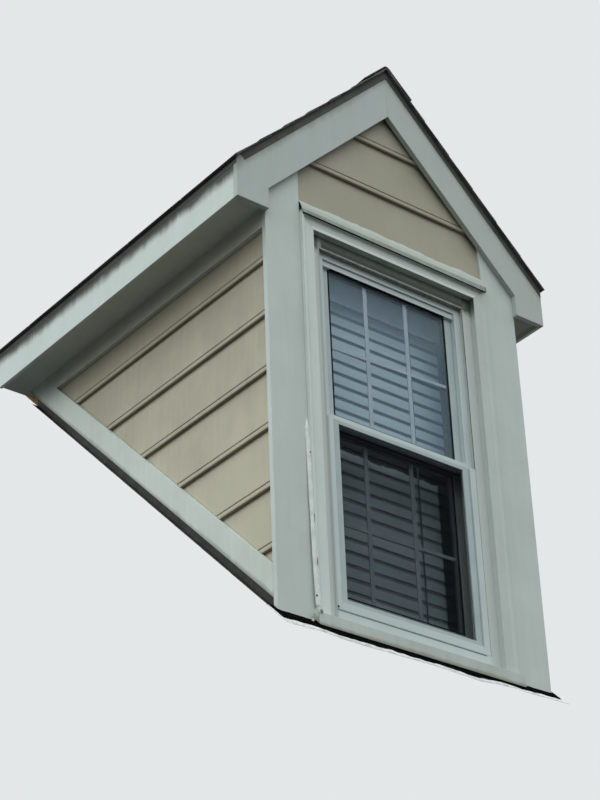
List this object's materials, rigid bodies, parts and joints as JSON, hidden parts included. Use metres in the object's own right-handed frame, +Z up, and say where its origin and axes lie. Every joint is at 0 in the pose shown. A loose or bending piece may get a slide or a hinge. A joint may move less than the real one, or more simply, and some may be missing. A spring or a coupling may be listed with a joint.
{
  "type": "gabled dormer window",
  "caption": "Gabled roof dormer with a double-hung window, lap siding, white trim and a shingled roof, cut to stand on a steep main roof.",
  "frame": {"origin": "on the bevelled sole of the front wall, on the centre line, 30 mm in from the face of the wall", "axes": "+Z up, -Y out through the window, +X to the right seen from inside the room; the seat plane rises towards +Y"},
  "size_m": [1.338, 2.2945, 2.2962],
  "materials": {
    "wall_panel": "stud framing with plywood outside and painted plaster board inside",
    "framing": "sawn softwood",
    "roof_deck": "plywood",
    "asphalt_shingle": "charcoal mineral granules on asphalt felt",
    "brown_drip_edge": "dark brown coil coating",
    "white_flashing": "white coil coating",
    "white_trim": "white paint",
    "cream_siding": "cream paint",
    "white_vinyl": "white extruded vinyl",
    "window_glass": "clear sealed unit",
    "screen_cloth": "charcoal woven cloth in a white frame",
    "blind": "white slats"
  },
  "bodies": {
    "root": {"apron_flashing": "white_flashing", "blind_rails": "blind", "blind_slats": "blind", "eave_returns": "white_trim", "front_wall": "wall_panel", "gable_siding": "cream_siding", "head_casing": "white_trim", "head_flashing": "white_flashing", "insect_screen": "screen_cloth", "left_casing": "white_trim", "left_cheek_siding": "cream_siding", "left_cheek_wall": "wall_panel", "left_corner_board": "white_trim", "left_eave_drip_edge": "brown_drip_edge", "left_fascia": "white_trim", "left_frieze_board": "white_trim", "left_rafters": "framing", "left_rake_board": "white_trim", "left_rake_drip_edge": "brown_drip_edge", "left_roof_deck": "roof_deck", "left_roof_shingles": "asphalt_shingle", "left_skirt_board": "white_trim", "left_soffit": "white_trim", "lower_glass": "window_glass", "lower_sash": "white_vinyl", "ridge_board": "framing", "ridge_cap": "asphalt_shingle", "right_casing": "white_trim", "right_cheek_siding": "cream_siding", "right_cheek_wall": "wall_panel", "right_corner_board": "white_trim", "right_eave_drip_edge": "brown_drip_edge", "right_fascia": "white_trim", "right_frieze_board": "white_trim", "right_rafters": "framing", "right_rake_board": "white_trim", "right_rake_drip_edge": "brown_drip_edge", "right_roof_deck": "roof_deck", "right_roof_shingles": "asphalt_shingle", "right_skirt_board": "white_trim", "right_soffit": "white_trim", "upper_glass": "window_glass", "upper_sash": "white_vinyl", "window_frame": "white_vinyl", "window_sill": "white_trim"}
  },
  "joints": []
}
